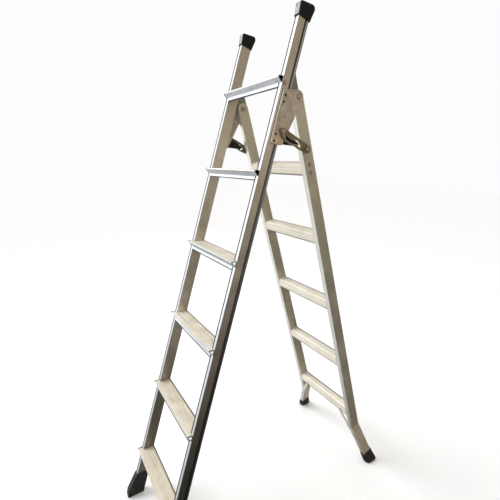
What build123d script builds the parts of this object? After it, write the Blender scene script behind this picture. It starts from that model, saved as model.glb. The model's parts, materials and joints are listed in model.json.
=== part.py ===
# Aluminium combination ladder, standing open as a stepladder.
# X runs across the ladder, -Y is the climbing side with the treads, +Z is up.
# The origin is on the floor, under the middle of the whole ladder.
import os
from math import cos, degrees, hypot, radians, sin, tan

from build123d import *

os.makedirs("parts", exist_ok=True)

# Stance of the two sections, in degrees from upright
front_lean = 15.4
rear_lean = 17.0
fold_angle = 31.5

# Front section
ladder_width = 382.0
stile_width = 20.0
stile_depth = 43.0
stile_wall = 1.8
stile_corner = 1.2
stile_rear_round = 3.0
groove_width = 7.0
groove_depth = 5.0
groove_to_rear = 9.0
tread_count = 6
tread_pitch = 305.0
first_tread_rise = 214.0
stile_above_treads = 198.0

# Tread extrusion
tread_height = 33.0
tread_top_wall = 2.6
tread_wall = 2.0
tread_lip = 6.0
tread_rear_height = 13.0
nose_reach = 17.5
nose_drop = 19.0
nose_edge = 3.5
nose_wall = 1.3
rib_height = 0.9
rib_width = 2.0
rib_pitch = 4.4
body_ribs = 8
nose_ribs = 3

# Rear section
rear_side_clearance = 0.5
rear_stile_width = 22.0
rear_stile_depth = 45.5
rear_stile_wall = 2.0
rung_count = 4
first_rung_rise = 273.0
top_rung_drop = 240.0
rung_height = 44.0
rung_band = 25.0
rung_ledge = 1.2
rung_top_corner = 13.0
rung_lower_corner = 5.0
rung_wall = 2.0
rung_ribs = 4
rung_side_ribs = 3
rung_rib_pitch = 4.6
flare_height = 183.0
flare_reach = 76.0

# Hinge
pivot_below_top_tread = 36.0
pivot_behind_stile = 29.4
hinge_plate = 5.0
plate_length = 176.0
plate_front_margin = 10.0
plate_foot_depth = 58.0
plate_foot_corner = 10.0
plate_head_radius = 20.0
plate_corner = 5.0
plate_edge_round = 1.2
panel_length = 62.0
panel_width = 24.0
panel_height = 0.4
rivet_dia = 8.0
rivet_head = 1.8
rivet_pair_gap = 22.0
rivet_end_margin = 11.0
pivot_dia = 10.0
pivot_head_dia = 15.0
pivot_head_height = 2.6
stay_head_dia = 13.0
stay_head_height = 2.2
nut_dia = 16.0
nut_height = 6.0
washer_height = 1.5
running_clearance = 0.08
tail_thickness = 5.0
tail_above_pivot = 96.0
tail_below_pivot = 110.0
tail_side_clearance = 0.3
tail_stop_clearance = 1.0

# Locking stay
stay_thickness = 4.0
stay_gap = 0.8
stay_width = 24.5
stay_eye_radius = 14.0
stay_bolt_drop = 170.5
stay_bolt_front = 7.0
stay_bolt_dia = 9.0
stay_stud_drop = 127.5
stay_stud_front = 29.0
stay_stud_dia = 10.0
slot_clearance = 0.9
stay_ratio = 0.65
slot_run_out = 0.8
slot_tail_reach = 35.5
slot_tail_low = 6.5
spacer_dia = 15.0
stud_washer_dia = 17.0
stud_nut_dia = 14.0
stud_nut_height = 4.0
stud_end = 1.0
guide_inset = 0.6
guide_corners = ((16.0, -5.0), (70.0, -18.0), (48.0, -24.0), (8.0, -33.0))
guide_round = 6.0

# Fittings at the ends
cap_height = 42.0
cap_overlap = 5.0
cap_wall = 3.0
cap_front_flare = 4.0
cap_rear_flare = 9.0
cap_side_flare = 3.0
cap_front_round = 6.0
cap_rear_round = 12.0
cap_side_round = 4.0
foot_height = 97.0
foot_sole = 8.0
foot_wall = 3.0
foot_toe = 14.0
foot_toe_height = 30.0
foot_toe_lean = 5.0
foot_toe_round = 5.0
foot_bend_round = 20.0
foot_round = 2.5
boot_height = 48.0
boot_sole = 9.0
boot_wall = 6.0
boot_heel = 8.0
boot_round = 15.0
boot_edge_round = 8.0
sole_grooves = 4
tread_grip = 2.2

# Braces and small fixings
brace_width = 15.0
brace_thickness = 3.0
brace_rung_inset = 46.0
brace_rung_low = 9.0
brace_foot_rise = 145.0
top_bolt_dia = 11.0
top_bolt_head = 3.0
top_bolt_depth = 11.0
stile_rivet_rise = 100.0
stile_rivet_depth = 15.0
rung_rivet_dia = 10.0
rung_rivet_gap = 28.0

# Worked out from the sizes above
half_width = ladder_width / 2
inner_half = half_width - stile_width
rear_half = half_width - rear_side_clearance
rear_inner = rear_half - rear_stile_width
stay_bolt_in = rear_half - 2 * rear_stile_wall
tread_rises = [first_tread_rise + i * tread_pitch for i in range(tread_count)]
stile_top = tread_rises[-1] + stile_above_treads
pivot_rise = tread_rises[-1] - pivot_below_top_tread
pivot_depth = stile_depth + pivot_behind_stile
front_slope = tan(radians(front_lean))
rear_slope = tan(radians(rear_lean))


def front_yz(depth, rise):
    """Floor-frame Y and Z of a point given along and behind the front face of the front stile."""
    c, s = cos(radians(front_lean)), sin(radians(front_lean))
    return rise * s + depth * c, rise * c - depth * s


pivot_y, pivot_z = front_yz(pivot_depth, pivot_rise)
rear_length = pivot_z / cos(radians(rear_lean))


def rear_yz(depth, drop):
    """Floor-frame Y and Z of a point behind the middle of the rear stile and below the pivot."""
    c, s = cos(radians(rear_lean)), sin(radians(rear_lean))
    return pivot_y + drop * s + depth * c, pivot_z - drop * c + depth * s


# The whole ladder is slid along Y so that the origin lies under the middle of its footprint
toe_y = front_yz(0, 0)[0] - foot_toe - foot_wall
heel_y = rear_yz(0, rear_length)[0] + rear_stile_depth / 2 + boot_wall + boot_heel
slide = Location((0, -(toe_y + heel_y) / 2, 0))
front_frame = slide * Location((0, 0, 0), (-front_lean, 0, 0))
rear_frame = slide * Location((0, pivot_y, pivot_z), (rear_lean, 0, 0))
side_plane = Plane.YZ

nodes = {}


def keep(name, shape):
    """Store one finished piece under its name."""
    nodes[name] = shape


def keep_pair(name, right_shape):
    """Store a right-hand piece and its mirror image on the left."""
    keep(name + "_right", right_shape)
    keep(name + "_left", mirror(right_shape, about=Plane.YZ))


def group(shapes):
    """Several separate solids in one node."""
    return Compound(children=list(shapes))


def both_sides(right_shapes):
    """The given right-hand solids together with their mirror images."""
    return group(list(right_shapes) + [mirror(s, about=Plane.YZ) for s in right_shapes])


def block(x0, x1, y0, y1, z0, z1):
    """A box given by its limits on each axis."""
    return Pos((x0 + x1) / 2, (y0 + y1) / 2, (z0 + z1) / 2) * Box(x1 - x0, y1 - y0, z1 - z0)


def disc(x0, x1, y, z, dia):
    """A round bar along X between two X positions."""
    return Pos((x0 + x1) / 2, y, z) * Rot(0, 90, 0) * Cylinder(dia / 2, x1 - x0)


def dome_head(x0, y, z, dia, height):
    """A rivet head with rounded rim, standing out along +X from x0."""
    head = disc(x0, x0 + height, y, z, dia)
    return fillet(head.edges().sort_by(Axis.X)[-1], height * 0.6)


def hex_nut(x0, x1, y, z, dia, hole):
    """A hexagon nut along X with a clear bore."""
    hexagon = extrude(RegularPolygon(dia / 2, 6), (x1 - x0) / 2, both=True)
    nut = Pos((x0 + x1) / 2, y, z) * Rot(0, 90, 0) * hexagon
    return nut - disc(x0 - 1, x1 + 1, y, z, hole)


def slab(sketch, x0, x1):
    """A flat outline in the side plane, given thickness from x0 to x1."""
    return Pos(x0, 0, 0) * extrude(side_plane * sketch, x1 - x0)


def above_floor(shape, level):
    """The part of a shape that lies above a level over the floor."""
    return split(shape, Plane((0, 0, level)), keep=Keep.TOP)


# Front stiles: hollow extrusions with a groove along the outer face near the rear edge
def round_rear(section, inset):
    """Round a section's outer rear corner about one centre, inset from the outside of the stile."""
    radius = stile_rear_round
    centre = Pos(stile_width / 2 - radius, stile_depth / 2 - radius)
    square = centre * Pos(radius / 2, radius / 2) * Rectangle(radius, radius)
    return section - square + (centre * Circle(radius - inset) & square)


def stile_bar(section):
    """A section of the right stile drawn out to its full length."""
    bar = extrude(section, stile_top + stile_depth)
    return Pos((inner_half + half_width) / 2, stile_depth / 2, -stile_depth) * bar


stile_outline = round_rear(RectangleRounded(stile_width, stile_depth, stile_corner), 0)
front_stile_blank = stile_bar(stile_outline)


def front_stile():
    groove_y = stile_depth / 2 - groove_to_rear - groove_width / 2
    groove = Pos(stile_width / 2 - groove_depth / 2, groove_y) * Rectangle(groove_depth, groove_width)
    front_end = -stile_depth / 2 + stile_wall
    front_stop = groove_y - groove_width / 2 - stile_wall
    rear_start = groove_y + groove_width / 2 + stile_wall
    rear_end = stile_depth / 2 - stile_wall
    room = stile_width - 2 * stile_wall
    front_cell = Pos(0, (front_end + front_stop) / 2) * Rectangle(room, front_stop - front_end)
    rear_cell = Pos(0, (rear_start + rear_end) / 2) * Rectangle(room, rear_end - rear_start)
    section = stile_outline - groove - front_cell - round_rear(rear_cell, stile_wall)
    return above_floor(front_frame * stile_bar(section), foot_sole)


keep_pair("front_stile", front_stile())


# Treads: level extrusions between the stiles, with a hollow nose that runs in front of them
def tread_sections():
    """The body and nose sections; the sketch origin is where the top meets the stile's front face."""
    back = stile_depth / cos(radians(front_lean))

    def slant(u, v):
        return (u + v * front_slope, v)

    def wall(u0, u1, v0, v1):
        return make_face(Polyline(slant(u0, v0), slant(u1, v0), slant(u1, v1), slant(u0, v1), close=True))

    body = wall(0, back, 0, -tread_top_wall)
    body += wall(0, tread_wall, 0, -tread_height)
    body += wall(0, tread_lip, -tread_height + tread_wall, -tread_height)
    body += wall(back - tread_wall, back, 0, -tread_rear_height)
    body += wall(back - tread_lip, back, -tread_rear_height + tread_wall, -tread_rear_height)
    for side in (-1, 1):
        for i in range(body_ribs // 2):
            u = back / 2 + side * (rib_pitch * (i + 1))
            body += Pos(u, rib_height / 2) * Rectangle(rib_width, rib_height)
    nose = make_face(Polyline(slant(0, 0), (-nose_reach, 0), (-nose_reach, -nose_edge),
                              slant(0, -nose_drop), close=True))
    nose -= offset(nose, -nose_wall)
    for i in range(nose_ribs):
        u = -nose_reach + rib_width + rib_pitch * i
        nose += Pos(u, rib_height / 2) * Rectangle(rib_width, rib_height)
    return body, nose


tread_body, tread_nose = tread_sections()
for number, rise in enumerate(tread_rises, start=1):
    y, z = front_yz(0, rise)
    tread = extrude(side_plane * tread_body, inner_half, both=True)
    tread += extrude(side_plane * tread_nose, half_width, both=True)
    keep(f"tread_{number}", slide * Pos(0, y, z) * tread)


# Top caps and front feet slip over the stile ends
def top_cap():
    """A cap that widens upwards to a level top: the stile leans, so the cap is taller at the rear."""
    low = stile_top - cap_overlap
    front, rear = -cap_wall, stile_depth + cap_wall
    inner, outer = inner_half - cap_wall, half_width + cap_wall
    top_front = low + cap_height
    top_rear = top_front + (rear - front) * front_slope
    side = make_face(Polyline((front, low), (rear, low), (rear + cap_rear_flare, top_rear),
                              (front - cap_front_flare, top_front), close=True))
    side = fillet(side.vertices().sort_by(Axis.Y)[-1], cap_rear_round)
    side = fillet(side.vertices().sort_by(Axis.X)[0], cap_front_round)
    face = make_face(Polyline((inner, low), (outer, low), (outer + cap_side_flare, top_rear),
                              (inner - cap_side_flare, top_rear), close=True))
    cap = slab(side, 0, ladder_width) & extrude(Plane.XZ * face, ladder_width, both=True)
    rims = cap.faces().sort_by(Axis.X)[-1].edges() + cap.faces().sort_by(Axis.X)[0].edges()
    cap = fillet([e for e in rims if e.center().Z > low + cap_wall], cap_side_round)
    return front_frame * (cap - front_stile_blank)


keep_pair("top_cap", top_cap())


def front_foot():
    """A tall shoe over the end of the stile, whose front slopes out to a toe."""
    back = stile_depth / cos(radians(front_lean)) + foot_wall
    toe = -foot_toe - foot_wall
    lean = foot_height * front_slope
    x0, x1 = inner_half - foot_wall, half_width + foot_wall
    side = make_face(Polyline((toe, 0), (back, 0), (back + lean, foot_height),
                              (lean - foot_wall, foot_height),
                              (toe + foot_toe_lean, foot_toe_height), close=True))
    side = fillet(side.vertices().sort_by(Axis.X)[0], foot_toe_round)
    bend = [v for v in side.vertices() if abs(v.Y - foot_toe_height) < foot_round]
    side = fillet(bend, foot_bend_round)
    shoe = slab(side, x0, x1)
    shoe = fillet(shoe.edges().filter_by(Axis.X).group_by(Axis.Z)[-1], foot_round)
    for i in range(sole_grooves):
        groove_y = -foot_toe / 2 + i * (back + foot_toe) / sole_grooves
        shoe -= block(x0 - 1, x1 + 1, groove_y, groove_y + tread_grip, -1, tread_grip)
    return slide * shoe - above_floor(front_frame * front_stile_blank, foot_sole)


keep_pair("front_foot", front_foot())


# Hinge plates, riveted to the outer faces of the front stiles
plate_in = half_width
plate_out = half_width + hinge_plate
plate_bottom = pivot_rise - plate_length
plate_top_front = pivot_rise - plate_corner


def front_side(depth, rise):
    """Side-plane location in the front section's own frame."""
    return Pos(depth, rise)


def plate_outline():
    corners = [
        front_side(plate_front_margin + plate_corner, plate_bottom + plate_corner) * Circle(plate_corner),
        front_side(plate_foot_depth - plate_foot_corner, plate_bottom + plate_corner + plate_foot_corner)
        * Circle(plate_foot_corner),
        front_side(plate_front_margin + plate_corner, plate_top_front) * Circle(plate_corner),
        front_side(pivot_depth, pivot_rise) * Circle(plate_head_radius),
    ]
    return make_hull([c.edge() for c in corners])


stile_middle = stile_depth / 2
rivet_rises = [plate_bottom + rivet_end_margin, plate_bottom + rivet_end_margin + rivet_pair_gap,
               plate_top_front - rivet_end_margin - rivet_pair_gap, plate_top_front - rivet_end_margin]
stud_rise = pivot_rise - stay_stud_drop
stud_depth = pivot_depth - stay_stud_front


def hinge_plate_part():
    plate = slab(plate_outline(), plate_in, plate_out)
    rim = plate.faces().sort_by(Axis.X)[-1]
    plate = fillet(rim.edges(), plate_edge_round)
    panel_rise = (rivet_rises[1] + rivet_rises[2]) / 2
    panel_sketch = front_side(stile_middle + panel_width / 4, panel_rise + panel_length / 4)
    panel_sketch *= SlotOverall(panel_length, panel_width, rotation=90)
    plate += slab(panel_sketch, plate_out - plate_edge_round, plate_out + panel_height)
    plate -= disc(plate_in - 1, plate_out + 1, pivot_depth, pivot_rise, pivot_dia + 2 * running_clearance)
    plate -= disc(plate_in - 1, plate_out + 1, stud_depth, stud_rise, stay_stud_dia + 2 * running_clearance)
    return front_frame * plate


keep_pair("hinge_plate", hinge_plate_part())
keep("plate_rivets", both_sides([front_frame * dome_head(plate_out, stile_middle, rise, rivet_dia, rivet_head)
                                 for rise in rivet_rises]))


# Hinge bolts run through the plate, the rear stile and the tail bar
tail_in = rear_inner + rear_stile_wall
tail_out = tail_in + tail_thickness


def hinge_bolt():
    shank = disc(rear_inner - washer_height - nut_height, plate_out, pivot_depth, pivot_rise, pivot_dia)
    head = dome_head(plate_out, pivot_depth, pivot_rise, pivot_head_dia, pivot_head_height)
    return front_frame * (shank + head)


keep_pair("hinge_bolt", hinge_bolt())
nut_face = rear_inner - washer_height
keep("hinge_nuts", both_sides([front_frame * hex_nut(nut_face - nut_height, nut_face, pivot_depth, pivot_rise,
                                                     nut_dia, pivot_dia)]))
keep("hinge_washers", both_sides([
    front_frame * (disc(nut_face, rear_inner, pivot_depth, pivot_rise, stud_washer_dia)
                   - disc(nut_face - 1, rear_inner + 1, pivot_depth, pivot_rise, pivot_dia))]))


# Stay studs with a washer and nut that hold the stay against the plate
stay_in = plate_out + stay_gap
stay_out = stay_in + stay_thickness
stud_washer_in = stay_out + stay_gap
stud_nut_in = stud_washer_in + washer_height


def stay_stud():
    tip = stud_nut_in + stud_nut_height + stud_end
    return front_frame * disc(plate_in, tip, stud_depth, stud_rise, stay_stud_dia)


keep_pair("stay_stud", stay_stud())
keep("stud_washers", both_sides([
    front_frame * (disc(stud_washer_in, stud_nut_in, stud_depth, stud_rise, stud_washer_dia)
                   - disc(stud_washer_in - 1, stud_nut_in + 1, stud_depth, stud_rise, stay_stud_dia))]))
keep("stud_nuts", both_sides([
    front_frame * hex_nut(stud_nut_in, stud_nut_in + stud_nut_height, stud_depth, stud_rise,
                          stud_nut_dia, stay_stud_dia)]))


# Nylon guides reach back from the foot of each plate and keep the stay clear of the rear stile
def stay_guide():
    """The guide's corners are given behind and above the stud, so that it backs the stay's slot."""
    pad = make_hull([(front_side(stud_depth + back, stud_rise + over) * Circle(guide_round)).edge()
                     for back, over in guide_corners])
    pad = slab(pad, plate_in + guide_inset, plate_out) - slab(plate_outline(), plate_in - 1, plate_out + 1)
    return front_frame * pad.solids().sort_by(Axis.Y)[-1]


keep_pair("stay_guide", stay_guide())


# Bolts at the top tread and rivets higher up the stiles
keep("top_tread_bolts", both_sides([
    front_frame * dome_head(half_width, top_bolt_depth, tread_rises[-1] - tread_height / 2,
                            top_bolt_dia, top_bolt_head)]))
keep("stile_rivets", both_sides([
    front_frame * dome_head(-inner_half, stile_rivet_depth, tread_rises[-1] + stile_rivet_rise,
                            rivet_dia, rivet_head)]))


# Rear stiles: box tubes with a rounded head at the pivot and a flared foot
def rear_tube(width, depth, wall):
    """A tube or bar of the rear stile's line, shrunk by wall on every side."""
    flare_top = -rear_length + flare_height
    low = -rear_length - rear_stile_depth
    x_mid = rear_half - rear_stile_width / 2
    room = Rectangle(width - 2 * wall, depth - 2 * wall)
    head = Pos(x_mid, 0, flare_top) * extrude(room, rear_stile_depth / 2 - flare_top)
    shift = flare_reach * (flare_top - low) / flare_height
    foot = loft([Pos(x_mid, 0, flare_top) * room, Pos(x_mid + shift, 0, low) * room])
    return head + foot


def rear_stile_blank():
    return rear_tube(rear_stile_width, rear_stile_depth, 0)


def rear_stile():
    outer = rear_stile_blank()
    head_radius = rear_stile_depth / 2
    keep_zone = slab(Circle(head_radius), 0, rear_half + 1)
    keep_zone += block(0, rear_half + flare_reach * 2, -head_radius, head_radius,
                       -rear_length - 2 * rear_stile_depth, 0)
    tube = (outer & keep_zone) - rear_tube(rear_stile_width, rear_stile_depth, rear_stile_wall)
    tube -= disc(rear_inner - 1, rear_half + 1, 0, 0, pivot_dia + 2 * running_clearance)
    tube -= disc(stay_bolt_in, rear_half + 1, -stay_bolt_front, -stay_bolt_drop, stay_bolt_dia)
    return above_floor(rear_frame * tube, boot_sole)


keep_pair("rear_stile", rear_stile())


# Rungs of the rear section: square to the stiles, with a round ribbed top above a deeper band
def rung_section():
    crown = Rectangle(rear_stile_depth - 2 * rung_ledge, rung_height)
    crown = fillet(crown.vertices().group_by(Axis.Y)[-1], rung_top_corner)
    crown = fillet(crown.vertices().group_by(Axis.Y)[0], rung_lower_corner)
    band = Pos(0, (rung_band - rung_height) / 2) * Rectangle(rear_stile_depth, rung_band)
    band = fillet(band.vertices().group_by(Axis.Y)[0], rung_lower_corner)
    section = crown + band - offset(crown, -rung_wall)
    rib = Rectangle(rib_width, 2 * rib_height)
    centre_u = rear_stile_depth / 2 - rung_ledge - rung_top_corner
    centre_v = rung_height / 2 - rung_top_corner
    for side in (-1, 1):
        for i in range(rung_ribs // 2):
            section += Pos(side * (i + 0.5) * rung_rib_pitch, rung_height / 2) * rib
        for i in range(rung_side_ribs):
            lean = degrees((i + 0.8) * rung_rib_pitch / rung_top_corner)
            corner = Pos(side * centre_u, centre_v) * Rot(0, 0, -side * lean)
            section += corner * Pos(0, rung_top_corner) * rib
    return section


rung_profile = rung_section()
rung_drops = [rear_length - first_rung_rise - i * tread_pitch for i in range(rung_count)] + [top_rung_drop]
for number, drop in enumerate(rung_drops, start=1):
    rung = extrude(side_plane * rung_profile, rear_inner, both=True)
    keep(f"rear_rung_{number}", rear_frame * Pos(0, 0, -drop) * rung)

keep("rung_rivets", both_sides([
    rear_frame * dome_head(rear_half, 0, -top_rung_drop + side * rung_rivet_gap / 2,
                           rung_rivet_dia, rivet_head)
    for side in (-1, 1)]))


# Tail bars inside the rear stiles stand up past the pivot and stop against the front section
def tail_bar():
    half = rear_stile_depth / 2 - rear_stile_wall - tail_side_clearance
    bar = block(tail_in, tail_out, -half, half, -tail_below_pivot, tail_above_pivot)
    bar -= disc(tail_in - 1, tail_out + 1, 0, 0, pivot_dia + 2 * running_clearance)
    bar = rear_frame * bar
    wall = front_frame * block(0, half_width, -ladder_width, stile_depth + tail_stop_clearance,
                               plate_bottom, stile_top + cap_height)
    return (bar - wall).solids().sort_by(Axis.Z)[0]


keep_pair("tail_bar", tail_bar())


# Boots on the flared rear feet
def rear_boot():
    floor_y, _ = rear_yz(0, rear_length)
    x_mid = rear_half - rear_stile_width / 2 + flare_reach
    half_x = rear_stile_width / 2 + boot_wall
    half_y = rear_stile_depth / 2 + boot_wall
    lean_x = flare_reach * boot_height / flare_height
    lean_y = boot_height * rear_slope
    base = Pos(x_mid, floor_y + boot_heel / 2) * Rectangle(2 * half_x + boot_heel, 2 * half_y + boot_heel)
    top = Pos(x_mid - lean_x, floor_y - lean_y, boot_height) * Rot(rear_lean, 0, 0)
    top *= Rectangle(2 * half_x, 2 * half_y)
    boot = loft([base, top])
    sides = [e for e in boot.edges() if abs(e.center().Z - boot_height / 2) < boot_height / 4]
    boot = fillet(sides, boot_round)
    boot = fillet(boot.edges().group_by(Axis.Z)[0], boot_edge_round)
    boot = fillet(boot.faces().sort_by(Axis.Z)[-1].edges(), foot_round)
    for i in range(sole_grooves):
        groove_y = floor_y - half_y + (i + 0.5) * 2 * half_y / sole_grooves
        boot -= block(x_mid - 2 * half_x, x_mid + 2 * half_x, groove_y, groove_y + tread_grip, -1, tread_grip)
    return slide * boot - above_floor(rear_frame * rear_stile_blank(), boot_sole)


keep_pair("rear_boot", rear_boot())


# Braces from the lowest rung down to the flared feet, lying on the front faces of the stiles
def rung_brace():
    face = -rear_stile_depth / 2
    rung_drop = rung_drops[0] + brace_rung_low
    foot_drop = rear_length - brace_foot_rise
    spread = flare_reach * (flare_height - brace_foot_rise) / flare_height
    foot_x = rear_half - rear_stile_width / 2 + spread
    rung_x = rear_inner - brace_rung_inset
    eyes = [Pos(x, -d) * Circle(brace_width / 2) for x, d in ((rung_x, rung_drop), (foot_x, foot_drop))]
    strip = make_hull([e.edge() for e in eyes])
    plane = Plane((0, face, 0), x_dir=(1, 0, 0), z_dir=(0, -1, 0))
    brace = extrude(plane * strip, brace_thickness)
    return brace, (rung_x, rung_drop), (foot_x, foot_drop)


brace_shape, brace_rung_end, brace_foot_end = rung_brace()
keep_pair("rung_brace", rear_frame * brace_shape)


def brace_rivet(x, drop):
    """A rivet head on the front face of a brace."""
    face = -rear_stile_depth / 2 - brace_thickness
    head = Pos(x, face - rivet_head / 2, -drop) * Rot(90, 0, 0) * Cylinder(rivet_dia / 2, rivet_head)
    return rear_frame * fillet(head.edges().sort_by(Axis.Y)[0], rivet_head * 0.6)


keep("brace_rivets", both_sides([brace_rivet(*brace_rung_end), brace_rivet(*brace_foot_end)]))


# Locking stays: each turns on a bolt in the rear stile and slides on the stud in the hinge plate
def turn(point, centre, angle):
    """A side-plane point turned about a centre by an angle in degrees."""
    c, s = cos(radians(angle)), sin(radians(angle))
    y, z = point[0] - centre[0], point[1] - centre[1]
    return centre[0] + y * c - z * s, centre[1] + y * s + z * c


stud_point = front_yz(stud_depth, stud_rise)
bolt_point = rear_yz(-stay_bolt_front, stay_bolt_drop)
pivot_point = (pivot_y, pivot_z)


def stud_in_stay(fold):
    """Where the stud lies in the stay when the rear section has folded by this many degrees."""
    unfolded = turn(stud_point, pivot_point, fold)
    return turn(unfolded, bolt_point, stay_ratio * fold)


def slot_tail():
    """Where the slot runs out: a set distance from the bolt towards the stud, and below that line."""
    y, z = stud_point[0] - bolt_point[0], stud_point[1] - bolt_point[1]
    share = slot_tail_reach / hypot(y, z)
    drop = slot_tail_low / hypot(y, z)
    return bolt_point[0] + y * share - z * drop, bolt_point[1] + z * share + y * drop


def stay():
    """A bar round the curved path of the stud, with a straight run-out towards the bolt."""
    slot_end = fold_angle + slot_run_out
    track = ThreePointArc(stud_in_stay(0), stud_in_stay(slot_end / 2), stud_in_stay(slot_end))
    slot_width = stay_stud_dia + 2 * slot_clearance
    tail_points = (stud_in_stay(slot_end), slot_tail())
    tail_ends = [(Pos(*point) * Circle(slot_width / 2)).edge() for point in tail_points]
    slot = SlotArc(track, slot_width) + make_hull(tail_ends)
    arm = SlotArc(track, stay_width)
    ends = [(Pos(*point) * Circle(stay_width / 2)).edge() for point in (stud_in_stay(0), slot_tail())]
    bar = make_hull(ends + [(Pos(*bolt_point) * Circle(stay_eye_radius)).edge()])
    plate = slab(arm + bar - slot, stay_in, stay_out)
    plate -= disc(stay_in - 1, stay_out + 1, *bolt_point, stay_bolt_dia + 2 * running_clearance)
    return slide * plate


keep_pair("stay", stay())


def stay_bolt():
    shank = disc(stay_bolt_in, stay_out + stay_gap, -stay_bolt_front, -stay_bolt_drop, stay_bolt_dia)
    head = dome_head(stay_out + stay_gap, -stay_bolt_front, -stay_bolt_drop, stay_head_dia, stay_head_height)
    return rear_frame * (shank + head)


keep_pair("stay_bolt", stay_bolt())
keep("stay_spacers", both_sides([
    rear_frame * (disc(rear_half, stay_in - stay_gap / 4, -stay_bolt_front, -stay_bolt_drop, spacer_dia)
                  - disc(rear_half - 1, stay_in, -stay_bolt_front, -stay_bolt_drop, stay_bolt_dia))]))

for name, shape in nodes.items():
    export_step(shape, f"parts/{name}.step")
print(len(nodes), "pieces; pivot", round(pivot_y, 1), round(pivot_z, 1), "rear leg", round(rear_length, 1))
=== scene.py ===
# %% [markdown]
# # A combination ladder, dressed for its photograph
# The ladder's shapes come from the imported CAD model, which is loaded here as a fixed frame.
# This lesson gives every piece its finish, adds the small forms that the solids leave out,
# and sets up a floor, soft light and a camera where the photographer stood.

# %% Load the frame
import json
import math

import bpy
import numpy as np
from mathutils import Matrix, Vector


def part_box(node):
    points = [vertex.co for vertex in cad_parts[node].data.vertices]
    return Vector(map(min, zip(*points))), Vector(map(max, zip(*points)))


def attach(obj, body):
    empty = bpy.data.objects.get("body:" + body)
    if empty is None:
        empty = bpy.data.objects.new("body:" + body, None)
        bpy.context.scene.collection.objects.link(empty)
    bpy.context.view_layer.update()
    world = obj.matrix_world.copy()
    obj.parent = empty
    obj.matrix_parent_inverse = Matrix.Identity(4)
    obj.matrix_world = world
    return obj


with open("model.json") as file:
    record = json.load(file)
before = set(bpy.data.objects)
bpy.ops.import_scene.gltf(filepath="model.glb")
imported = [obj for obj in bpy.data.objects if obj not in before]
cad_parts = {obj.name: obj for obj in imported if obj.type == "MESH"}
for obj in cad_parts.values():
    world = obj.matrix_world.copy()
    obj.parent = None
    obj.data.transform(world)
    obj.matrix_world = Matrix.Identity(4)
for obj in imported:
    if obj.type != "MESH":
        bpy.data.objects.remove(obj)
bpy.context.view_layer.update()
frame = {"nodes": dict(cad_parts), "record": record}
nodes = frame["nodes"]

# %% [markdown]
# ## Two leaning sections
# Finishes such as drawing lines run along a section, and the sections lean. So each pattern is laid out
# in its section's own frame: X across the ladder, Y to the rear, Z along the stiles. The front frame
# starts at the foot of the stiles' front faces, and the rear one at the hinge.

# %% Frames of the sections
mm = 0.001
front_lean = 15.4
rear_lean = -17.0
front_foot = Vector((0.0, -0.51894, 0.0))
joints = {joint["name"]: joint for joint in frame["record"]["behaviour"]["joints"]}
pivot = Vector(joints["rear_fold"]["pos_m"])


def turn_of(lean):
    """The turn from the world's axes to a leaning section's own."""
    return Matrix.Rotation(math.radians(lean), 3, "X")


def from_own(points, lean, origin=(0.0, 0.0, 0.0)):
    """Rows of points in a section's own frame, turned back into the ladder's frame."""
    return np.asarray(points) @ np.array(turn_of(lean)) + np.array(origin)


print("hinge at", tuple(round(v, 4) for v in pivot))

# %% [markdown]
# ## Writing shader maths as Python
# Blender's materials are graphs of nodes. Wiring them by hand hides the idea behind the plumbing,
# so one small class wraps a socket. Adding or multiplying two wrapped sockets adds a Math node,
# and one method makes any other kind of node.

# %% A socket that does arithmetic


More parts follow.
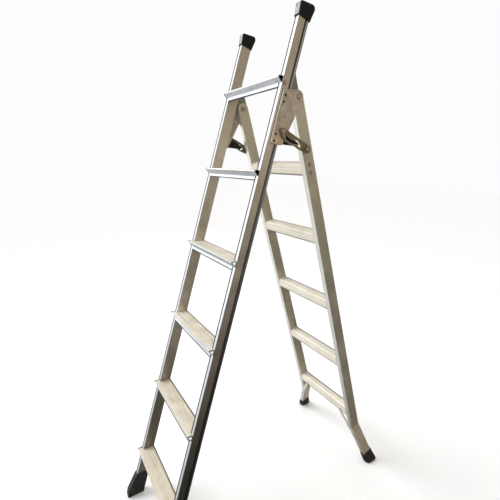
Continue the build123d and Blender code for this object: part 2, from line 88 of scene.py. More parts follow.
class Wire:
    """A node's output socket; operators between wires and numbers add Math nodes."""

    def __init__(self, tree, socket):
        self.tree = tree
        self.socket = socket

    def node(self, kind, settings=None, sockets=None, out=0):
        """Add a node: settings are set first, then socket values or links; returns an output."""
        made = self.tree.nodes.new(kind)
        for name, value in (settings or {}).items():
            setattr(made, name, value)
        for key, value in (sockets or {}).items():
            if isinstance(value, Wire):
                self.tree.links.new(value.socket, made.inputs[key])
            else:
                made.inputs[key].default_value = value
        return Wire(self.tree, made.outputs[out])

    def maths(self, operation, a, b=0.0):
        """One Math node on two values, each a wire or a number."""
        return self.node("ShaderNodeMath", {"operation": operation}, {0: a, 1: b})

    def __add__(self, other):
        return self.maths("ADD", self, other)

    __radd__ = __add__

    def __mul__(self, other):
        return self.maths("MULTIPLY", self, other)

    __rmul__ = __mul__

    def __sub__(self, other):
        return self.maths("SUBTRACT", self, other)

    def __rsub__(self, other):
        return self.maths("SUBTRACT", other, self)

    def __mod__(self, other):
        return self.maths("MODULO", self, other)

    def __abs__(self):
        return self.maths("ABSOLUTE", self)

    def step(self, low, high):
        """Rescale the stretch from low to high to 0..1, with smooth ends."""
        return self.node("ShaderNodeMapRange", {"interpolation_type": "SMOOTHSTEP"},
                         {"Value": self, "From Min": low, "From Max": high})

    def below(self, low, high):
        """1 minus the step: 1 up to low, falling to 0 at high."""
        return 1.0 - self.step(low, high)

    def between(self, rise, fall):
        """The step over rise times what is below fall: a band with soft edges."""
        return self.step(*rise) * self.below(*fall)

    def axis(self, letter):
        """One coordinate of a vector."""
        return self.node("ShaderNodeSeparateXYZ", {}, {0: self}, out=letter)

    def noise(self, scale, detail=3.0):
        """Noise read at this wire's coordinates."""
        return self.node("ShaderNodeTexNoise", {},
                         {"Vector": self, "Scale": scale, "Detail": detail, "Roughness": 0.55})

    def seen_from(self, lean, origin):
        """Coordinates in a leaning section's own frame: turned about X and measured from origin."""
        return self.node("ShaderNodeMapping", {},
                         {"Vector": self, "Rotation": (math.radians(lean), 0.0, 0.0),
                          "Location": -(turn_of(lean) @ origin)})

    def scaled(self, scale):
        """Coordinates multiplied along each axis, which squeezes the noise read there."""
        return self.node("ShaderNodeMapping", {}, {"Vector": self, "Scale": scale})

    def tint(self, dark, light):
        """A colour between two others, mixed by this wire; each is a tuple or a wire."""
        ends = [end if isinstance(end, Wire) else (*end, 1.0) for end in (dark, light)]
        factor, first, second, colour = 0, 6, 7, 2
        return self.node("ShaderNodeMix", {"data_type": "RGBA"},
                         {factor: self, first: ends[0], second: ends[1]}, out=colour)


def start_finish(name, **constants):
    """A material with its shader's steady values set; returns it with the object coordinates."""
    material = bpy.data.materials.new(name)
    material.use_nodes = True
    shader = material.node_tree.nodes["Principled BSDF"]
    for socket, value in constants.items():
        shader.inputs[socket.replace("_", " ")].default_value = value
    coordinates = material.node_tree.nodes.new("ShaderNodeTexCoord")
    return material, shader, Wire(material.node_tree, coordinates.outputs["Object"])


def feed(shader, bump=None, strength=0.2, distance=0.4 * mm, **varying):
    """Link what varies over a surface to the shader's sockets, named with _ for a space.

    A bump goes through a Bump node to the Normal socket.
    """
    for socket, wire in varying.items():
        wire.tree.links.new(wire.socket, shader.inputs[socket.replace("_", " ")])
    if bump is not None:
        made = bump.node("ShaderNodeBump", {},
                         {"Strength": strength, "Distance": distance, "Height": bump})
        bump.tree.links.new(made.socket, shader.inputs["Normal"])


finish_of_slot = {}


def keep_finish(slot, material):
    """Store a material as the finish of a slot in the record, and print its size."""
    finish_of_slot[slot] = material
    print(slot, "is dressed with", material.name, "of", len(material.node_tree.nodes), "shader nodes")


print("shader helpers ready")

# %% [markdown]
# ## Mill-finish aluminium
# The stiles are aluminium pushed through a die. The die leaves faint lines along the length, and handling
# leaves dull patches. A picture of real metal could show this, but noise needs no file and never repeats:
# the lines are noise squeezed across the bar and drawn out along it.

# %% Die lines and dull patches


def die_lines(own, along):
    """Streaks along one axis: noise at about 1.5 mm across the bar and 200 mm along it."""
    fine, slow = 700.0, 5.0
    return own.scaled(tuple(slow if axis == along else fine for axis in "XYZ")).noise(1.0, detail=2.0)


def mill_tone(own, place, cloud_scale, streak_share):
    """Streaks, clouds and specks added up by their shares, then stretched to 0..1."""
    speck_share = 0.15
    streak = die_lines(own, "Z")
    cloud = place.noise(cloud_scale, detail=4.0)
    speck = place.noise(240.0, detail=2.0)
    mixed = streak * streak_share + cloud * (1.0 - speck_share - streak_share) + speck * speck_share
    return mixed.step(0.28, 0.68), streak, cloud


print("aluminium helpers ready")

# %% [markdown]
# ## Front stiles
# The front faces are bright. The flanks are painted tan, a painted reflection of the warm room, and
# darker towards the floor, a painted reflection of dark ground; the grooves get painted shade. Separate
# materials would need the faces sorted first. Instead each region is a mask, worked out from a place in the
# section's own frame.

# %% Front stiles
half_width, stile_middle_x = 191.0 * mm, 181.0 * mm
groove_near, groove_far, stile_rear = 27.0 * mm, 34.0 * mm, 43.0 * mm
plate_low, plate_high = 1527.0 * mm, 1705.0 * mm
# The colour of painted shade lines along edges
painted_edge_shade = (0.016, 0.017, 0.02)


def front_stile_finish():
    """Regions told apart by depth behind the front face, by side, and by the climb along the stile."""
    material, shader, place = start_finish("front_stile_finish", Metallic=0.85)
    own = place.seen_from(front_lean, front_foot)
    across_x, depth, climb = own.axis("X"), own.axis("Y"), own.axis("Z")
    side = abs(across_x)
    outside = side.step(184.5 * mm, 186.5 * mm)
    tone, streak, cloud = mill_tone(own, place, cloud_scale=16.0, streak_share=0.45)

    # The flank is tan, a painted reflection of the warm room, with painted shade high up
    # and a painted reflection of dark ground low down
    flank = tone.tint((0.64, 0.575, 0.475), (0.86, 0.79, 0.675))
    flank = (climb.step(1.5, 1.85) * 0.45).tint(flank, (0.30, 0.275, 0.235))
    flank = (climb.below(0.3, 1.2) * outside * 0.88).tint(flank, (0.06, 0.056, 0.05))
    flank = (climb.below(0.35, 0.85) * (1.0 - outside) * 0.8).tint(flank, (0.15, 0.14, 0.115))

    # Beside the hinge plate the front corner gets a painted highlight, and a painted shadow runs along the
    # plate's edge
    by_plate = climb.between((plate_low, plate_low + 4.0 * mm),
                             (plate_high - 5.0 * mm, plate_high + 5.0 * mm)) * outside
    plate_edge_shadow = depth.between((7.0 * mm, 8.5 * mm), (11.0 * mm, 12.0 * mm))
    flank = (by_plate * depth.below(5.0 * mm, 7.0 * mm) * 0.8).tint(flank, (0.93, 0.90, 0.83))
    flank = (by_plate * plate_edge_shadow).tint(flank, (0.14, 0.11, 0.085))

    # Towards the rear come a grey strip of painted shade, darker low down and at its rear corner, and the
    # groove in darker painted shade
    strip = climb.step(0.7, 1.6).tint((0.14, 0.14, 0.145), (0.46, 0.47, 0.50))
    strip = depth.step(stile_rear - 3.0 * mm, stile_rear - 1.0 * mm).tint(strip, (0.12, 0.12, 0.125))
    rear_strip = depth.step(groove_far - 0.4 * mm, groove_far + 0.6 * mm) * outside
    groove_shade = depth.between((groove_near - 0.4 * mm, groove_near + 0.2 * mm),
                           (groove_far - 0.4 * mm, groove_far + 0.2 * mm)) * outside
    flank = groove_shade.tint(rear_strip.tint(flank, strip), (0.05, 0.05, 0.052))

    # The front face is bright, with a painted shade line on the right stile's inner and the left one's outer
    # edge
    bright = tone.tint((0.56, 0.575, 0.60), (0.74, 0.755, 0.78))
    left_edge_shade = across_x.below(-183.5 * mm, -181.5 * mm)
    right_edge_shade = side.below(177.3 * mm, 179.3 * mm) * across_x.step(0.0, 0.1)
    bright = (right_edge_shade + left_edge_shade).tint(bright, painted_edge_shade)
    front_face = depth.below(0.4 * mm, 1.4 * mm)
    feed(shader, Base_Color=front_face.tint(flank, bright),
         Roughness=0.33 + streak * 0.12 + cloud.step(0.42, 0.72) * 0.12, bump=streak, strength=0.12)
    return material


keep_finish("front_stile_aluminium", front_stile_finish())

# %% [markdown]
# ## Rear stiles
# The rear tubes are plainer. Their olive-tan flanks are a painted reflection, and their paler front faces a
# painted highlight.

# %% Rear stiles


def rear_stile_finish():
    """Olive-tan tube (a painted reflection) with a paler front face (a painted highlight), told apart by
    depth from the middle of the tube.
    """
    material, shader, place = start_finish("rear_stile_finish", Metallic=0.8)
    own = place.seen_from(rear_lean, pivot)
    tone, streak, cloud = mill_tone(own, place, cloud_scale=14.0, streak_share=0.4)
    flank = tone.tint((0.56, 0.52, 0.405), (0.74, 0.69, 0.555))
    pale = tone.tint((0.70, 0.68, 0.62), (0.84, 0.82, 0.77))
    front_face = own.axis("Y").below(-22.4 * mm, -21.4 * mm)
    feed(shader, Base_Color=front_face.tint(flank, pale),
         Roughness=0.35 + streak * 0.12 + cloud.step(0.42, 0.72) * 0.14, bump=streak, strength=0.12)
    return material


keep_finish("rear_stile_aluminium", rear_stile_finish())

# %% [markdown]
# ## What feet leave behind
# Treads and rungs are walked on, so dust and a warm film of dirt collect between the ribs, drawn out along
# them by shoes. The film is noise, stretched along the tread. All treads are the same extrusion, one step
# above another, so the height within a step is enough to tell the top of any of them from its sides.

# %% Trodden film


def within_step(level, first, step):
    """Height from the nearest step: (level - first + lift) modulo step, less lift.

    The lift is how far below a step something may hang and still count with it.
    """
    lift = 100.0 * mm
    return (level + (lift - first)) % step - lift


def trodden(own):
    """Cream colour with drawn-out dirt: streaks, cloud, warm and grey smears, each a noise in this frame."""
    streak = die_lines(own, "X")
    cloud = own.noise(22.0, detail=4.0)
    smear = own.scaled((2.5, 240.0, 240.0)).noise(1.0, detail=3.0)
    grey = own.scaled((3.0, 220.0, 220.0)).noise(1.0, detail=2.0)
    cream = (streak * 0.5 + cloud * 0.5).step(0.34, 0.66).tint((0.52, 0.475, 0.385), (0.83, 0.79, 0.68))
    cream = (smear.step(0.50, 0.68) * 0.7).tint(cream, (0.60, 0.465, 0.28))
    return (grey.step(0.54, 0.70) * 0.65).tint(cream, (0.40, 0.43, 0.47)), streak, cloud


print("film helpers ready")

# %% [markdown]
# ## Treads
# Under the trodden top, the sloping face of the nose is painted cool grey as painted shade, and the skirt
# below it is bright.
# The nose is hollow, its inside painted dark as painted shade, but low down daylight shines through it, and
# a glow stands in for that.

# %% Treads
lean_cos, lean_tan = math.cos(math.radians(front_lean)), math.tan(math.radians(front_lean))
tread_rise = 305.0 * mm * lean_cos
first_top = 214.0 * mm * lean_cos
nose_reach, nose_edge, nose_drop = 17.5 * mm, 3.5 * mm, 19.0 * mm


def nose_hollow(depth, height):
    """1 inside the nose's walls: past the front edge, below the top, and behind the sloping face."""
    reach = depth * (1.0 / lean_cos) + height * lean_tan + nose_reach
    fall, run = nose_drop - nose_edge, nose_reach - nose_drop * lean_tan
    slope = math.hypot(fall, run)
    inward = reach * (fall / slope) + (height + nose_edge) * (run / slope)
    skin = (0.4 * mm, 0.8 * mm)
    return inward.step(*skin) * reach.step(*skin) * height.below(-0.9 * mm, -0.5 * mm)


def tread_finish():
    """Height below the tread's top and depth behind the stiles' front face give each region a mask."""
    material, shader, place = start_finish("tread_finish", Emission_Strength=1.0)
    along, level = place.axis("X"), place.axis("Z")
    depth = place.seen_from(front_lean, front_foot).axis("Y")
    height = within_step(level, first_top, tread_rise)
    top = height.step(-1.2 * mm, -0.4 * mm)
    nose = depth.below(-1.3 * mm, -0.4 * mm)
    dust, streak, cloud = trodden(place)

    # Tops: dust, paler ribs, a warmer tint and specks low down, and a painted shade line at the rear edge
    low_down = level.below(0.2, 1.0)
    rib = height.step(0.2 * mm, 0.8 * mm)
    tops = (rib * 0.35).tint(dust, (0.84, 0.81, 0.74))
    tops = (low_down * 0.35).tint(tops, (0.66, 0.55, 0.40))
    speck = place.scaled((12.0, 300.0, 300.0)).noise(1.0, detail=3.0).step(0.52, 0.66)
    tops = (speck * low_down * 0.6).tint(tops, (0.62, 0.46, 0.25))
    tops = depth.step(37.0 * mm, 38.6 * mm).tint(tops, (0.10, 0.095, 0.09))
    tops = (nose * 0.15).tint(tops, (0.92, 0.91, 0.88))

    # The sloping face under the nose, painted grey as painted shade, with a painted highlight on its front
    # edge
    grit = place.noise(300.0)
    facet = (streak * 0.4 + cloud * 0.3 + grit * 0.3).step(0.36, 0.62)
    facet = facet.tint((0.36, 0.37, 0.39), (0.64, 0.65, 0.66))
    edge_highlight = height.step(-nose_edge - 0.3 * mm, -nose_edge + 0.3 * mm)
    facet = edge_highlight.tint(facet, (0.86, 0.86, 0.86))

    # The skirt, with painted shade lines along its lip and, up to the fifth tread, a painted shadow under
    # the nose
    skirt = streak.step(0.36, 0.64).tint((0.52, 0.54, 0.58), (0.84, 0.86, 0.90))
    skirt = height.below(-30.5 * mm, -28.5 * mm).tint(skirt, painted_edge_shade)
    shadow_under_nose = height.step(-22.0 * mm, -20.5 * mm) * level.below(1.5, 1.6)
    skirt = (shadow_under_nose * 0.6).tint(skirt, (0.12, 0.125, 0.135))

    # Painted shade darkens the ends, then the inside of the nose
    colour = top.tint(nose.tint(skirt, facet), tops)
    ends = along.below(-186.0 * mm, -183.5 * mm) + along.step(184.5 * mm, 186.5 * mm) * nose
    colour = (ends * 0.9).tint(colour, (0.03, 0.03, 0.03))
    side = abs(along)
    end_face = side.step(half_width - 0.4 * mm, half_width - 0.1 * mm) * nose
    colour = end_face.tint(colour, (0.015, 0.015, 0.015))
    hollow = nose_hollow(depth, height) * nose
    daylight = hollow * level.below(1.2, 1.3) * side.below(186.0 * mm, 189.5 * mm)
    feed(shader, Base_Color=hollow.tint(colour, (0.012, 0.012, 0.012)), Metallic=0.85 - top * 0.6,
         Emission_Color=daylight.tint((0.0, 0.0, 0.0), (0.85, 0.86, 0.88)),
         Roughness=0.34 + streak * 0.1 + top * 0.15 + cloud * 0.05, bump=streak, strength=0.15)
    return material


keep_finish("tread_aluminium", tread_finish())

# %% [markdown]
# ## Rungs
# A rung's ribs run along its round crown, over a deeper band with a painted highlight on its ledge. Four
# rungs are in step and the top one isn't, so its height is measured from its own place.

# %% Rungs
rung_start, rung_step, top_rung_height = -1423.8 * mm, 305.0 * mm, -240.0 * mm
rungs_in_step = 4


def rung_finish():
    """The trodden film in the rear section's frame, striped by ribs, with a painted highlight on the ledge
    over the band.
    """
    material, shader, place = start_finish("rung_finish", Metallic=0.3)
    own = place.seen_from(rear_lean, pivot)
    behind, along = own.axis("Y"), own.axis("Z")
    dust, streak, cloud = trodden(own)
    top_rung = along.step(top_rung_height - 60.0 * mm, top_rung_height - 40.0 * mm)
    height = (within_step(along, rung_start, rung_step) * (1.0 - top_rung)
              + (along - top_rung_height) * top_rung)
    band = height.below(1.6 * mm, 2.2 * mm)
    ledge_highlight = height.between((1.6 * mm, 2.2 * mm), (3.6 * mm, 4.2 * mm))
    stripe_pitch, stripe_shift = 9.2 * mm, 80.0 * mm
    off_stripe = abs((behind + stripe_shift) % stripe_pitch - stripe_pitch / 2.0)
    tops = (cloud * 0.2 + 0.45).tint(dust, (0.74, 0.70, 0.61))
    tops = (0.5 * off_stripe.step(2.8 * mm, 4.2 * mm) * (1.0 - band)).tint(tops, (0.42, 0.38, 0.31))
    tops = (band * 0.6).tint(tops, (0.74, 0.685, 0.57))
    # Painted shade along the crown's far edge and the rung's low edge
    far_edge_shade = behind.between((8.0 * mm, 11.0 * mm), (16.5 * mm, 18.5 * mm))
    low_edge_shade = height.below(-16.0 * mm, -13.0 * mm)
    tops = ((far_edge_shade + low_edge_shade) * 0.8).tint(tops, (0.13, 0.125, 0.115))
    feed(shader, Base_Color=(ledge_highlight * 0.8).tint(tops, (0.90, 0.88, 0.82)),
         Roughness=0.42 + streak * 0.1 + cloud * 0.08, bump=streak, strength=0.15)
    return material


keep_finish("rung_aluminium", rung_finish())

# %% [markdown]
# ## Plated steel
# The stays, braces and fasteners are steel with a thin plating. Plating shows as small cloudy patches of
# warmer and cooler colour, with scuffs that are rougher than the rest. Heads that stand out are rubbed
# pale, and how far they stand out across the ladder tells them from what lies below.

# %% Plated steel


def plated_steel(name, dark, light, metal=0.7, worn=None):
    """Colour clouds at about 20 mm, scuffs at about 4 mm; heads in the worn span of X are rubbed pale."""
    material, shader, place = start_finish(name, Metallic=metal)
    cloud = place.noise(45.0, detail=5.0)
    scuff = place.noise(260.0, detail=3.0)
    colour = (cloud * 0.7 + scuff * 0.3).step(0.3, 0.7).tint(dark, light)
    if worn:
        side = abs(place.axis("X"))
        start, end = worn
        wear_and_sheen = side.between((start, start + 0.4 * mm), (end, end + 0.4 * mm))
        colour = wear_and_sheen.tint(colour, (0.46, 0.41, 0.30))
    feed(shader, Base_Color=colour, Roughness=0.3 + scuff * 0.3, bump=scuff, strength=0.08)
    return material


keep_finish("stay_steel", plated_steel("stay_finish", (0.14, 0.115, 0.06), (0.33, 0.28, 0.16),
                                       worn=(202.2 * mm, 220.0 * mm)))
keep_finish("brace_steel", plated_steel("brace_finish", (0.50, 0.475, 0.41), (0.70, 0.67, 0.60), metal=0.3))
keep_finish("tail_steel", plated_steel("tail_finish", (0.21, 0.215, 0.155), (0.33, 0.335, 0.25)))
keep_finish("rivet_steel", plated_steel("rivet_finish", (0.03, 0.025, 0.02), (0.09, 0.075, 0.06),
                                        worn=(192.2 * mm, 195.2 * mm)))
keep_finish("zinc_steel", plated_steel("zinc_finish", (0.36, 0.30, 0.23), (0.55, 0.48, 0.39)))

# %% [markdown]
# ## Hinge plates
# The large plates show the plating best: mottled tan, warmer towards the foot, with a painted highlight on
# the front edge.
# The height along the stile and the depth behind its front face tell where the foot and the edge are.

# %% Hinge plates


def plate_finish():
    """Mottled tan plating, warmer towards the plate's foot, with a painted highlight on the front edge."""
    material, shader, place = start_finish("plate_finish", Metallic=0.55)
    own = place.seen_from(front_lean, front_foot)
    cloud = place.noise(45.0, detail=5.0)
    scuff = place.noise(260.0, detail=3.0)
    tone = (cloud * 0.55 + scuff * 0.45).step(0.34, 0.66)
    warm = own.axis("Z").below(plate_low + 3.0 * mm, plate_low + 83.0 * mm) * 0.7
    colour = warm.tint(tone.tint((0.36, 0.30, 0.235), (0.62, 0.54, 0.44)),
                       tone.tint((0.54, 0.37, 0.235), (0.78, 0.58, 0.40)))
    # A painted highlight along the plate's front edge
    edge_highlight = own.axis("Y").below(11.4 * mm, 12.8 * mm)
    feed(shader, Base_Color=(edge_highlight * 0.85).tint(colour, (0.92, 0.88, 0.80)), Roughness=0.3 + scuff * 0.3,
         bump=scuff, strength=0.1)
    return material


keep_finish("plate_steel", plate_finish())

# %% [markdown]
# ## Black mouldings
# The feet are dull rubber and the stay guides hard nylon. Both have a fine grain from the mould, which is
# bump, and soft dusty patches, which are colour.

# %% Rubber and nylon


def moulded(name, dark, light, rough, grain, shine):
    """A black moulding: fine grain in the bump, soft dusty patches in the colour."""
    material, shader, place = start_finish(name, Specular_IOR_Level=shine)
    cloud = place.noise(55.0, detail=4.0)
    pores = place.noise(grain, detail=2.0)
    tone = (cloud * 0.8 + pores * 0.2).step(0.4, 0.75)
    feed(shader, Base_Color=tone.tint(dark, light), Roughness=rough + pores * 0.15, bump=pores, strength=0.2)
    return material


keep_finish("foot_rubber", moulded("rubber_finish", (0.010, 0.009, 0.008), (0.035, 0.031, 0.026),
                                   rough=0.5, grain=600.0, shine=0.4))
keep_finish("guide_nylon", moulded("guide_finish", (0.006, 0.006, 0.006), (0.016, 0.016, 0.016),
                                   rough=0.4, grain=900.0, shine=0.4))

# %% [markdown]
# ## Top caps
# The caps are black plastic, with a pale grey painted reflection on the front. The front is a sloping plane,
# so the depth behind that plane tells it from the sides.

# %% Top caps
cap_low, cap_wall = 1932.0 * mm, 3.0 * mm
cap_flare, cap_height = 4.0 * mm, 42.0 * mm


def cap_finish():
    """Black plastic with a pale painted reflection on its front; the front leans out by cap_flare over
    cap_height.
    """
    material, shader, place = start_finish("cap_finish", Specular_IOR_Level=0.25)
    own = place.seen_from(front_lean, front_foot)
    pores = place.noise(900.0, detail=2.0)
    cloud = place.noise(120.0, detail=3.0)
    climb = own.axis("Z")
    behind_front = own.axis("Y") + cap_wall + (climb - cap_low) * (cap_flare / cap_height)
    off_middle = abs(abs(own.axis("X")) - stile_middle_x)
    # The pale front is a painted reflection
    wear_and_sheen = behind_front.below(0.3 * mm, 1.2 * mm) * climb.step(cap_low + 2.0 * mm, cap_low + 5.0 * mm)
    wear_and_sheen = wear_and_sheen * off_middle.below(8.5 * mm, 11.5 * mm)
    pale = (cloud * 0.6 + pores * 0.4).step(0.35, 0.65).tint((0.24, 0.25, 0.27), (0.46, 0.475, 0.50))
    feed(shader, Base_Color=wear_and_sheen.tint((0.006, 0.006, 0.008), pale), Roughness=0.4 + pores * 0.2,
         bump=pores, strength=0.2)
    return material


keep_finish("cap_plastic", cap_finish())

# %% [markdown]
# ## Dressing the nodes
# The record gives each node a material slot. One finish per slot keeps the look of like pieces alike,
# so one loop dresses the whole ladder.

# %% Give each node its finish
for part in frame["record"]["subparts"]:
    mesh = nodes[part["node"]].data
    mesh.materials.clear()
    mesh.materials.append(finish_of_slot[part["material_slot"]])
print("dressed", len(nodes), "nodes")

# %% [markdown]
# ## Beads and rims
# Pressed and moulded pieces have small rounded edges that catch the light: a lip round the foot of each
# cap, a rolled rim round the slot of each stay and a bead where a rung is swaged into its stile. A dark ring
# of painted shade goes round each bolt head. All are one idea: an oval carried round a closed path.

# %% An oval carried round a path


def bead(path, outward, lift, wide, high, sides=10):
    """Point(i, j) = path(i) + wide*cos(j)*outward(i) + high*sin(j)*lift, closed both ways.

    The enclosed volume's sign says whether the faces look outwards; if not, their corners are reversed.
    """
    angle = np.linspace(0.0, 2.0 * np.pi, sides, endpoint=False)
    oval = (wide * np.cos(angle)[None, :, None] * outward[:, None, :]
            + high * np.sin(angle)[None, :, None] * np.asarray(lift, float)[None, None, :])
    points = (path[:, None, :] + oval).reshape(-1, 3)
    here = np.arange(len(path) * sides).reshape(len(path), sides)
    ahead = np.roll(here, -1, axis=0)
    corners = [here, ahead, np.roll(ahead, -1, axis=1), np.roll(here, -1, axis=1)]
    faces = np.stack(corners, axis=-1).reshape(-1, 4)
    a, b, c, d = (points[faces[:, k]] for k in range(4))
    volume = np.sum(a * np.cross(b, c)) + np.sum(a * np.cross(c, d))
    return points, faces if volume > 0 else faces[:, ::-1]


def both_sides(path, outward, *shape, **more):
    """A bead on the right of the ladder and its mirror image on the left."""
    flip = np.array([-1.0, 1.0, 1.0])
    return [bead(path, outward, *shape, **more), bead(path * flip, outward * flip, *shape, **more)]


def add_piece(name, beads, slot, body):
    """One mesh from several beads, with a slot's finish, riding on a body."""
    starts = np.cumsum([0] + [len(points) for points, _ in beads])
    points = np.concatenate([points for points, _ in beads])
    faces = np.concatenate([faces + start for (_, faces), start in zip(beads, starts)])
    mesh = bpy.data.meshes.new(name)
    mesh.from_pydata(points.tolist(), [], faces.tolist())
    mesh.polygons.foreach_set("use_smooth", np.ones(len(faces), dtype=bool))
    mesh.materials.append(finish_of_slot[slot])
    made = bpy.data.objects.new(name, mesh)
    bpy.context.collection.objects.link(made)
    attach(made, body)
    print(name, "rides on", body, "with", len(faces), "faces")


print("bead helper ready")

# %% [markdown]
# ## Painted shade round the bolt heads
# Each head is a disc seen from the side of the ladder, so its path is a circle across X. The places are
# the middles of the CAD heads, so the rings follow if the heads move.

# %% Rings round the heads
across = np.array([1.0, 0.0, 0.0])


def circle(x, spot, radius, count=40):
    """Points and outward directions of a circle about an axis along X."""
    angle = np.linspace(0.0, 2.0 * np.pi, count, endpoint=False)
    outward = np.stack([np.zeros(count), np.cos(angle), np.sin(angle)], axis=1)
    return np.array([x, *spot]) + radius * outward, outward


def middle(node):
    """The middle of a node's box in the side plane."""
    low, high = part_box(node)
    return (np.array(low)[1:] + np.array(high)[1:]) / 2.0


def rings(wide, *heads):
    """A pair of thin rings for each head, given as (x, spot, radius)."""
    return sum((both_sides(*circle(*head), across, wide, ring_high, sides=8) for head in heads), [])


ring_high = 0.5 * mm
plate_face, rear_face, stay_face = 196.0 * mm, 190.5 * mm, 200.8 * mm
stay_gap, rivet_half_gap = 0.8 * mm, 14.0 * mm
hinge_ring, tread_bolt_ring, stay_ring, rivet_ring = 8.0 * mm, 6.0 * mm, 6.9 * mm, 5.8 * mm
rivet_step = from_own([(0.0, 0.0, rivet_half_gap)], rear_lean)[0, 1:]
# Thin dark rings of painted shade where each head meets the surface below
front_rings = rings(0.8 * mm, (plate_face, middle("hinge_bolt_right"), hinge_ring),
                    (half_width, middle("top_tread_bolts"), tread_bolt_ring))
add_piece("front_head_shade_rings", front_rings, "rivet_steel", "front_section")
rear_rings = rings(1.2 * mm, (stay_face + stay_gap, middle("stay_bolt_right"), stay_ring),
                   (rear_face, middle("rung_rivets") + rivet_step, rivet_ring),
                   (rear_face, middle("rung_rivets") - rivet_step, rivet_ring))
add_piece("rear_head_shade_rings", rear_rings, "rivet_steel", "rear_section")

# %% [markdown]
# ## The rim of the slot
# The stud in the hinge plate slides along the stay's slot while the rear section folds. Seen from the stay,
# the stud moves on an arc: turn it about the hinge by the fold, then about the stay's bolt by the stay's
# share of it. The slot is that arc made wide, with a straight run-out, and the rim follows its edge.

# %% Rims round the slots
slot_turn, stay_share = math.radians(32.3), 0.65
tail_reach, tail_low = 35.5 * mm, 6.5 * mm
slot_half, rim_inset = 5.9 * mm, 1.5 * mm
rim_wide, rim_high = 1.2 * mm, 0.5 * mm
run_out_steps, end_steps = 6, 12


def turned(points, centre, angle):
    """Points in the side plane turned about a centre, each by its own angle."""
    y, z = points[:, 0] - centre[0], points[:, 1] - centre[1]
    return np.stack([centre[0] + y * np.cos(angle) - z * np.sin(angle),
                     centre[1] + y * np.sin(angle) + z * np.cos(angle)], axis=1)


def slot_edge(stud, bolt, count=24):
    """The outline of a strip of half-width slot_half + rim_inset along the stud's path, with round ends."""
    fold = np.linspace(0.0, slot_turn, count)
    track = turned(turned(np.tile(stud, (count, 1)), pivot[1:], fold), bolt, stay_share * fold)
    along = (stud - bolt) / np.linalg.norm(stud - bolt)
    run_out = bolt + tail_reach * along + tail_low * np.array([-along[1], along[0]])
    share = np.linspace(0.0, 1.0, run_out_steps + 1)[1:, None]
    track = np.concatenate([track, track[-1] * (1.0 - share) + run_out * share])
    tangent = np.gradient(track, axis=0)
    tangent /= np.linalg.norm(tangent, axis=1)[:, None]
    normal = np.stack([-tangent[:, 1], tangent[:, 0]], axis=1)
    swing = np.linspace(0.0, np.pi, end_steps + 1)[1:-1, None]
    far = np.cos(swing) * normal[-1] + np.sin(swing) * tangent[-1]
    near = -np.cos(swing) * normal[0] - np.sin(swing) * tangent[0]
    outward = np.concatenate([normal, far, -normal[::-1], near])
    line = np.concatenate([track, np.tile(track[-1], (len(far), 1)),
                           track[::-1], np.tile(track[0], (len(near), 1))])
    return line + (slot_half + rim_inset) * outward, outward


edge_line, edge_out = slot_edge(middle("stay_stud_right"), middle("stay_bolt_right"))
rims = both_sides(np.insert(edge_line, 0, stay_face, axis=1), np.insert(edge_out, 0, 0.0, axis=1),
                  across, rim_wide, rim_high)
for side, rim in zip(("right", "left"), rims):
    add_piece(f"slot_rim_{side}", [rim], "zinc_steel", f"stay_{side}")

# %% [markdown]
# ## Swaged beads and cap lips
# A rung's end is pressed outwards against the stile, which leaves a rounded bead all round it. Its path is
# the rung's outline: straight sides with four rounded corners. A cap's lip goes round the stile in the
# same way.

# %% Beads at the rungs, lips at the caps


def rounded_box(half_u, half_v, low_corner, high_corner, count=64):
    """Outline of a box: a corner's centre by the signs of cos and sin, plus its radius times (cos, sin)."""
    angle = np.linspace(0.0, 2.0 * np.pi, count, endpoint=False) + np.pi / count
    away = np.stack([np.cos(angle), np.sin(angle)], axis=1)
    corner = np.where(away[:, 1] > 0, high_corner, low_corner)[:, None]
    return np.sign(away) * (np.array([half_u, half_v]) - corner) + corner * away, away


rung_half_depth, rung_half_height = 22.2 * mm, 22.0 * mm
rung_low_corner, rung_top_corner = 5.0 * mm, 13.0 * mm
rear_inner, bead_half = 168.5 * mm, 1.5 * mm
rung_line, rung_away = rounded_box(rung_half_depth, rung_half_height, rung_low_corner, rung_top_corner)
rung_beads = []
for height in [rung_start + rung_step * number for number in range(rungs_in_step)] + [top_rung_height]:
    own = np.insert(rung_line + np.array([0.0, height]), 0, rear_inner - bead_half, axis=1)
    rung_beads += both_sides(from_own(own, rear_lean, pivot),
                             from_own(np.insert(rung_away, 0, 0.0, axis=1), rear_lean),
                             across, 1.2 * mm, bead_half, sides=8)
add_piece("rung_beads", rung_beads, "rung_aluminium", "rear_section")

stile_middle = np.array([stile_middle_x, stile_rear / 2.0])
cap_half = np.array([half_width - stile_middle_x, stile_rear / 2.0]) + cap_wall
cap_line, cap_away = rounded_box(*cap_half, cap_wall, cap_wall)
lip_half = 1.2 * mm
cap_path = np.insert(cap_line + stile_middle, 2, cap_low + lip_half, axis=1)
lips = both_sides(from_own(cap_path, front_lean, front_foot),
                  from_own(np.insert(cap_away, 2, 0.0, axis=1), front_lean),
                  from_own([(0.0, 0.0, 1.0)], front_lean)[0], 0.9 * mm, lip_half, sides=8)
add_piece("cap_lips", lips, "cap_plastic", "front_section")

# %% [markdown]
# ## The floor
# The ladder stands on a plain pale floor, one large square. Metal shows what surrounds it, and a white floor
# would wash out the flanks, so in reflections the floor is grey on the left and dark on the hinge side.
# The Light Path node tells such rays from the rest.

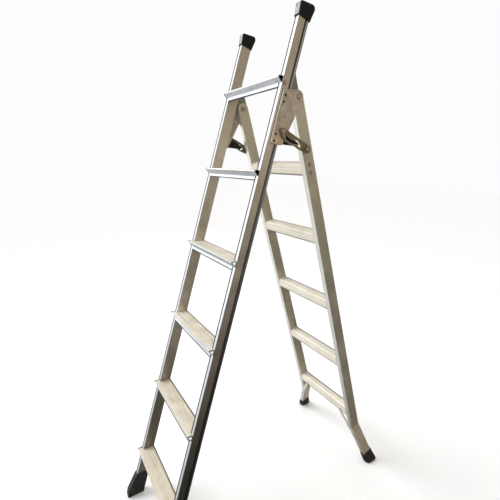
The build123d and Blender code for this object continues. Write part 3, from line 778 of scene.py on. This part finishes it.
# %% Floor
floor_half = 30.0
floor_mesh = bpy.data.meshes.new("floor")
floor_corners = [(-floor_half, -floor_half, 0.0), (floor_half, -floor_half, 0.0),
                 (floor_half, floor_half, 0.0), (-floor_half, floor_half, 0.0)]
floor_mesh.from_pydata(floor_corners, [], [(0, 1, 2, 3)])
floor = bpy.data.objects.new("floor", floor_mesh)
bpy.context.collection.objects.link(floor)
floor_finish, floor_shader, floor_place = start_finish("floor_finish", Roughness=0.8)
pale = floor_place.noise(3.0).step(0.2, 0.8).tint((0.93, 0.93, 0.93), (0.95, 0.95, 0.95))
in_metal = floor_place.axis("X").step(-0.7, 0.5).tint((0.60, 0.61, 0.63), (0.03, 0.027, 0.022))
glossy = floor_place.node("ShaderNodeLightPath", out="Is Glossy Ray")
feed(floor_shader, Base_Color=glossy.tint(pale, in_metal))
floor_mesh.materials.append(floor_finish)
print("floor ready")

# %% [markdown]
# ## Room and lamps
# Soft studio light: a large lamp in front and to the left, a weak one above and a wide sun. The room matters
# as much as the lamps: it is bright in front and to the left, and tan and dim on the hinge side, which
# is what gives the flanks of the stiles their colour. The camera itself sees a plain pale background.

# %% Room and lamps


def soft_lamp(name, place, target, size, watts, colour):
    """A square area lamp at a place, turned to face a target."""
    lamp = bpy.data.lights.new(name, "AREA")
    lamp.size = size
    lamp.energy = watts
    lamp.color = colour
    thing = bpy.data.objects.new(name, lamp)
    thing.location = place
    thing.rotation_euler = (Vector(target) - Vector(place)).to_track_quat("-Z", "Y").to_euler()
    bpy.context.collection.objects.link(thing)


world = bpy.data.worlds.new("studio")
world.use_nodes = True
sky = world.node_tree
around = Wire(sky, sky.nodes.new("ShaderNodeTexCoord").outputs["Generated"])
hinge_side = (0.8, 0.55, -0.2)
towards = around.node("ShaderNodeVectorMath", {"operation": "DOT_PRODUCT"},
                      {0: around, 1: hinge_side}, out="Value")
room = towards.step(-0.1, 0.7).tint((0.85, 0.86, 0.87), (0.50, 0.43, 0.335))
seen = around.node("ShaderNodeLightPath", out="Is Camera Ray")
sky.links.new(seen.tint(room, (0.98, 0.98, 0.98)).socket, sky.nodes["Background"].inputs["Color"])
bpy.context.scene.world = world
soft_lamp("front_lamp", place=(-2.5, -2.8, 2.1), target=(0.0, -0.3, 0.9), size=3.9, watts=58.0,
          colour=(0.97, 0.985, 1.0))
soft_lamp("top_lamp", place=(-1.2, 0.6, 3.6), target=(0.0, 0.0, 0.8), size=2.2, watts=12.0,
          colour=(1.0, 0.98, 0.94))
sun = bpy.data.lights.new("sun", "SUN")
sun.energy = 1.2
sun.angle = 0.5
sun_shines = Vector((0.45, 0.5, -0.75))
sun_thing = bpy.data.objects.new("sun", sun)
sun_thing.rotation_euler = sun_shines.to_track_quat("-Z", "Y").to_euler()
bpy.context.collection.objects.link(sun_thing)
bpy.context.scene.view_settings.view_transform = "Standard"
print("room and lamps ready")

# %% [markdown]
# ## The camera
# The photograph was taken from chest height, close to the hinge side, with a wide lens such as a phone's.
# The camera's place, aim and lens were fitted so that the ladder's corners fall where the photograph has
# them, so they are given as numbers.

# %% Camera
camera_place = Vector((1.1652, -0.2375, 1.3929)) + front_foot
yaw, pitch, roll = math.radians(55.09), math.radians(12.5), 0.032
focal_in_pixels, photo_width = 350.9, 500.0
aim = Vector((-math.sin(yaw) * math.cos(pitch), math.cos(yaw) * math.cos(pitch), -math.sin(pitch)))
right = Vector((math.cos(yaw), math.sin(yaw), 0.0))
up = right.cross(aim)
right, up = (math.cos(roll) * right + math.sin(roll) * up,
             math.cos(roll) * up - math.sin(roll) * right)
lens = bpy.data.cameras.new("camera")
lens.sensor_fit = "HORIZONTAL"
lens.lens = focal_in_pixels / photo_width * lens.sensor_width
lens.shift_x = -0.0464
lens.shift_y = -0.0095
camera = bpy.data.objects.new("camera", lens)
camera.matrix_world = Matrix((
    (right.x, up.x, -aim.x, camera_place.x),
    (right.y, up.y, -aim.y, camera_place.y),
    (right.z, up.z, -aim.z, camera_place.z),
    (0.0, 0.0, 0.0, 1.0)))
bpy.context.collection.objects.link(camera)
bpy.context.scene.camera = camera
print("camera at", tuple(round(v, 3) for v in camera_place), "lens", round(lens.lens, 2), "mm")
